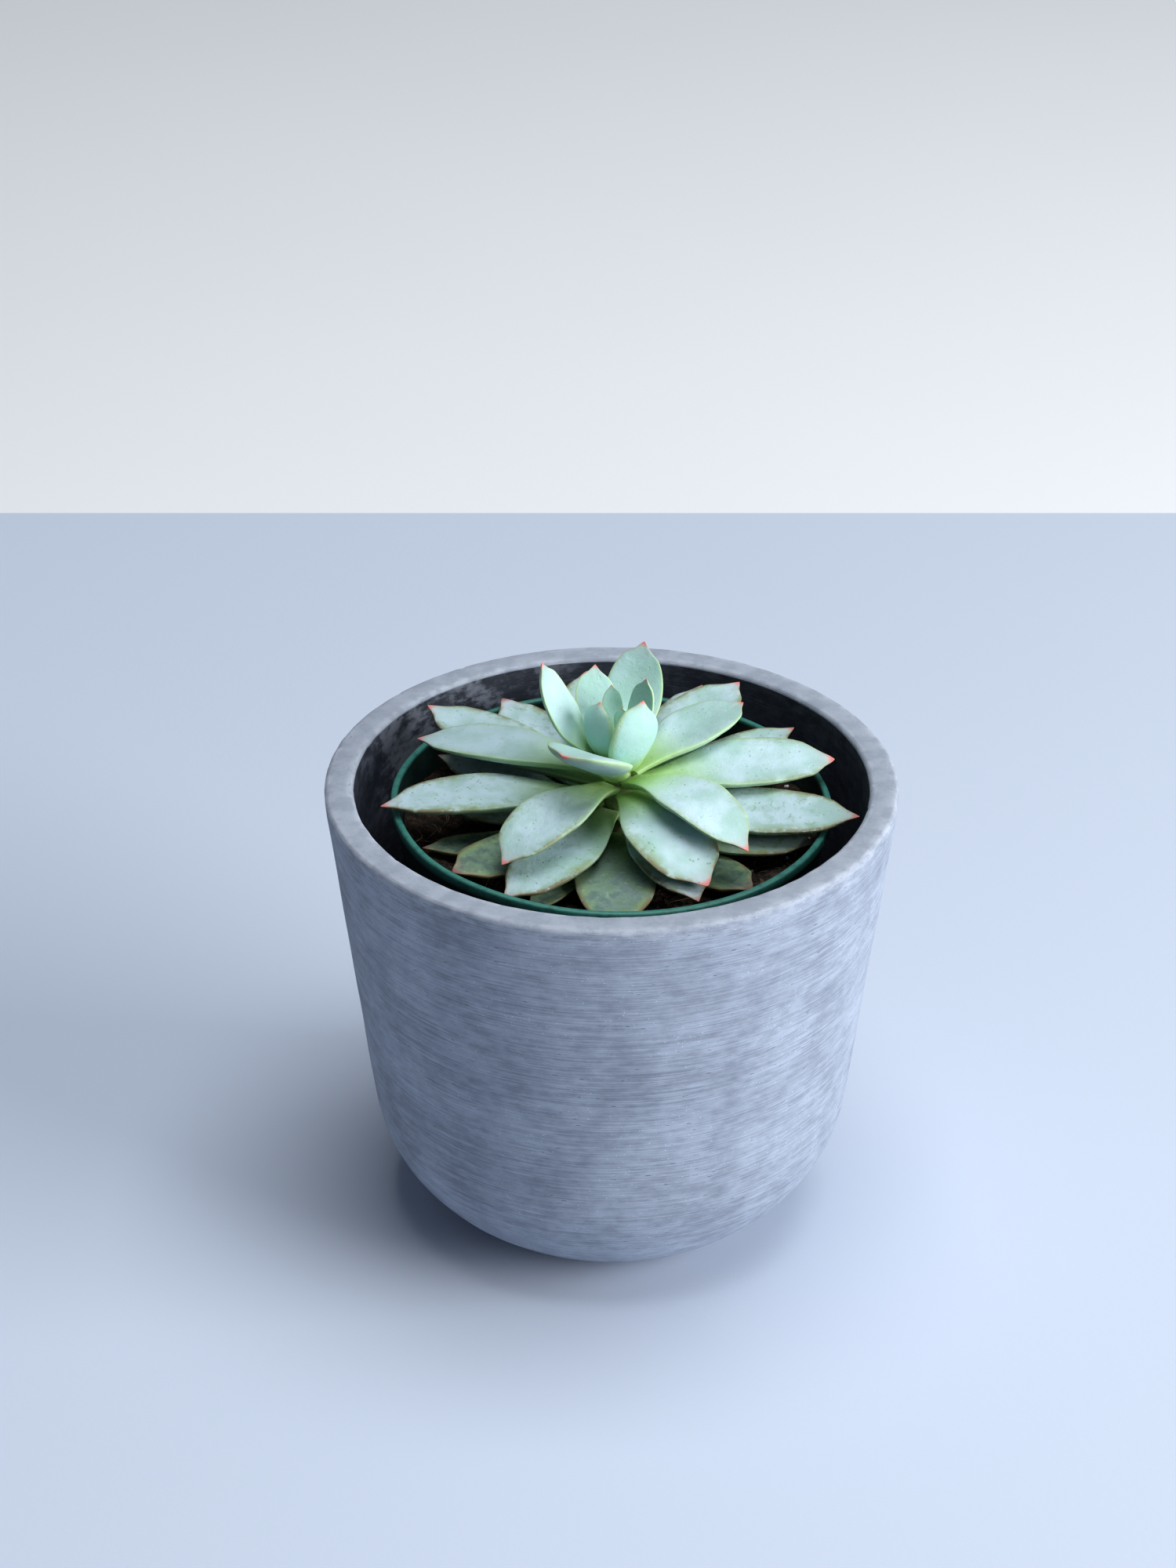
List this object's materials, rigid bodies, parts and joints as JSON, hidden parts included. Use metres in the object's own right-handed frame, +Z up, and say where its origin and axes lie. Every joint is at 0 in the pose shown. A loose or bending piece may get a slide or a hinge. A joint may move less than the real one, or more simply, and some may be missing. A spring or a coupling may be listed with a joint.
{
  "type": "potted succulent",
  "caption": "Rosette succulent with pointed fleshy leaves in a thin nursery pot, standing loose inside a thick-walled round-bottomed planter.",
  "frame": {"origin": "centre of the planter's flat base, on the surface it stands on", "axes": "+Z up along the planter's axis; -Y is the side seen in the picture, +X its right"},
  "size_m": [0.142, 0.142, 0.154],
  "materials": {
    "planter_stone": "matt blue-grey stone composite with fine horizontal sanding streaks and small flecks",
    "pot_plastic": "thin dark green plastic with a teal edge",
    "soil_peat": "loose dark brown peat with fibres and grit",
    "stem_skin": "soft yellow-green plant skin",
    "leaf_skin": "pale blue-green waxy bloom, lime at the foot and coral red at the tip"
  },
  "bodies": {
    "root": {"planter": "planter_stone", "nursery_pot": "pot_plastic", "soil": "soil_peat", "stem": "stem_skin", "leaf_01": "leaf_skin", "leaf_02": "leaf_skin", "leaf_03": "leaf_skin", "leaf_04": "leaf_skin", "leaf_05": "leaf_skin", "leaf_06": "leaf_skin", "leaf_07": "leaf_skin", "leaf_08": "leaf_skin", "leaf_09": "leaf_skin", "leaf_10": "leaf_skin", "leaf_11": "leaf_skin", "leaf_12": "leaf_skin", "leaf_13": "leaf_skin", "leaf_14": "leaf_skin", "leaf_15": "leaf_skin", "leaf_16": "leaf_skin", "leaf_17": "leaf_skin", "leaf_18": "leaf_skin", "leaf_19": "leaf_skin", "leaf_20": "leaf_skin", "leaf_21": "leaf_skin", "leaf_22": "leaf_skin", "leaf_23": "leaf_skin", "leaf_24": "leaf_skin", "leaf_25": "leaf_skin", "leaf_26": "leaf_skin", "leaf_27": "leaf_skin", "leaf_28": "leaf_skin", "leaf_29": "leaf_skin", "leaf_30": "leaf_skin", "leaf_31": "leaf_skin", "leaf_32": "leaf_skin", "leaf_33": "leaf_skin", "leaf_34": "leaf_skin", "leaf_35": "leaf_skin", "leaf_36": "leaf_skin", "leaf_37": "leaf_skin", "leaf_38": "leaf_skin"}
  },
  "joints": []
}
